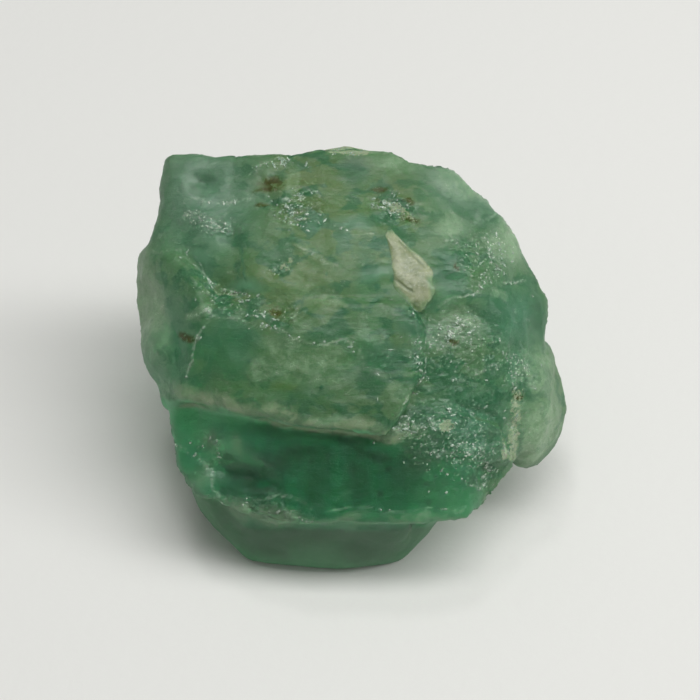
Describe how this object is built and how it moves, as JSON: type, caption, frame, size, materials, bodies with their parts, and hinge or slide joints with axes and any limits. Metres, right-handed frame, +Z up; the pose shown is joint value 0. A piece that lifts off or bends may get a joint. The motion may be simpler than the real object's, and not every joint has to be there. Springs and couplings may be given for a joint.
{
  "type": "raw emerald crystal",
  "caption": "Rough, chunky piece of green beryl with a broad leaning show face, a ridge, stepped fracture ledges, paler crystals grown into its ends and a flat break that it rests on.",
  "frame": {"origin": "on the resting face, under the middle of the stone's box", "axes": "+X along the stone, from the rounded left crystal to the pale right crystal; +Z up; the leaning show face looks towards -Y and up"},
  "size_m": [0.0228, 0.019, 0.0151],
  "materials": {
    "beryl": "rough translucent green crystal, glassy on fresh breaks, milky with veils inside"
  },
  "bodies": {
    "root": {"emerald_crystal": "beryl"}
  },
  "joints": []
}
